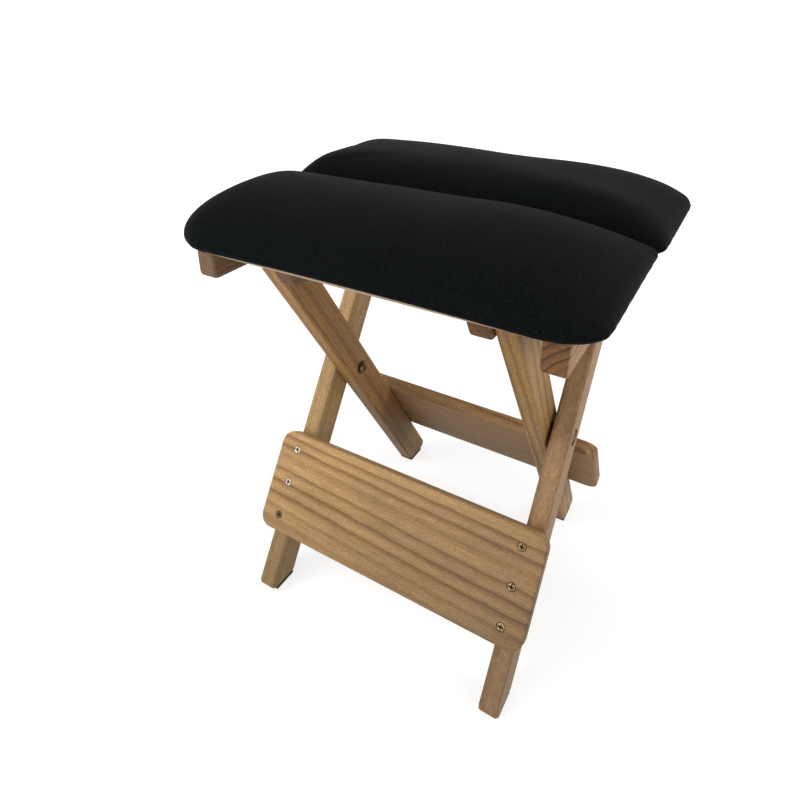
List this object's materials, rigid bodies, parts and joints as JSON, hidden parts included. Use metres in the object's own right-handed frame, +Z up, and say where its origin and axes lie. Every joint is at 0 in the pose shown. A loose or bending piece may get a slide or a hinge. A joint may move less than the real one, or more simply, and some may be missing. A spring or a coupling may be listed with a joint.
{
  "type": "folding stool",
  "caption": "Folding meditation bench: two crossed wooden leg frames joined by wide boards carry a padded black seat in two halves.",
  "frame": {"origin": "on the floor under the middle of the bench, as it stands open", "axes": "+Z up, -Y to the front, where the outer legs have their feet and the front board, and +X to the right as seen from the front"},
  "size_m": [0.3498, 0.3348, 0.4375],
  "materials": {
    "leg_wood": "oiled, satin",
    "board_wood": "oiled, satin",
    "rail_wood": "oiled, satin",
    "plywood": "sanded, unfinished",
    "leatherette": "fine grain, matte",
    "foam": "open-cell foam",
    "rubber": "matte",
    "steel": "nickel plated"
  },
  "bodies": {
    "outer_frame": {"outer_leg_left": "leg_wood", "outer_foot_pad_left": "rubber", "outer_leg_right": "leg_wood", "outer_foot_pad_right": "rubber", "front_board": "board_wood", "front_board_screw_left_top": "steel", "front_board_screw_left_middle": "steel", "front_board_screw_left_bottom": "steel", "front_board_screw_right_top": "steel", "front_board_screw_right_middle": "steel", "front_board_screw_right_bottom": "steel", "leg_pivot_bolt_left": "steel", "leg_pivot_washer_left": "steel", "leg_pivot_nut_left": "steel", "leg_pivot_bolt_right": "steel", "leg_pivot_washer_right": "steel", "leg_pivot_nut_right": "steel", "front_seat_pivot_bolt_left": "steel", "front_seat_pivot_washer_left": "steel", "front_seat_pivot_nut_left": "steel", "front_seat_pivot_bolt_right": "steel", "front_seat_pivot_washer_right": "steel", "front_seat_pivot_nut_right": "steel"},
    "inner_frame": {"inner_leg_left": "leg_wood", "inner_foot_pad_left": "rubber", "inner_leg_right": "leg_wood", "inner_foot_pad_right": "rubber", "rear_board": "board_wood", "rear_board_screw_left_top": "steel", "rear_board_screw_left_middle": "steel", "rear_board_screw_left_bottom": "steel", "rear_board_screw_right_top": "steel", "rear_board_screw_right_middle": "steel", "rear_board_screw_right_bottom": "steel", "rear_seat_pivot_bolt_left": "steel", "rear_seat_pivot_washer_left": "steel", "rear_seat_pivot_nut_left": "steel", "rear_seat_pivot_bolt_right": "steel", "rear_seat_pivot_washer_right": "steel", "rear_seat_pivot_nut_right": "steel"},
    "front_seat": {"front_seat_rail_left": "rail_wood", "front_seat_rail_right": "rail_wood", "front_seat_base": "plywood", "front_seat_foam": "foam", "front_seat_cover": "leatherette", "front_seat_screw_left_outer": "steel", "front_seat_screw_left_seam": "steel", "front_seat_screw_right_outer": "steel", "front_seat_screw_right_seam": "steel"},
    "rear_seat": {"rear_seat_rail_left": "rail_wood", "rear_seat_rail_right": "rail_wood", "rear_seat_base": "plywood", "rear_seat_foam": "foam", "rear_seat_cover": "leatherette", "rear_seat_screw_left_outer": "steel", "rear_seat_screw_left_seam": "steel", "rear_seat_screw_right_outer": "steel", "rear_seat_screw_right_seam": "steel"}
  },
  "joints": [
    {"name": "leg_fold", "type": "hinge", "parent": "outer_frame", "child": "inner_frame", "pos_m": [0, 0, 0.212], "axis": [-1, 0, 0], "range_deg": [0, 64.5]},
    {"name": "front_seat_pivot", "type": "hinge", "parent": "outer_frame", "child": "front_seat", "pos_m": [0, 0.10376, 0.3755], "axis": [-1, 0, 0], "range_deg": [0, 32.25]},
    {"name": "rear_seat_pivot", "type": "hinge", "parent": "inner_frame", "child": "rear_seat", "pos_m": [0, -0.10376, 0.3755], "axis": [1, 0, 0], "range_deg": [0, 32.25]}
  ],
  "couplings": [
    {"joint": "front_seat_pivot", "follows": "leg_fold", "ratio": 0.5},
    {"joint": "rear_seat_pivot", "follows": "leg_fold", "ratio": 0.5}
  ]
}
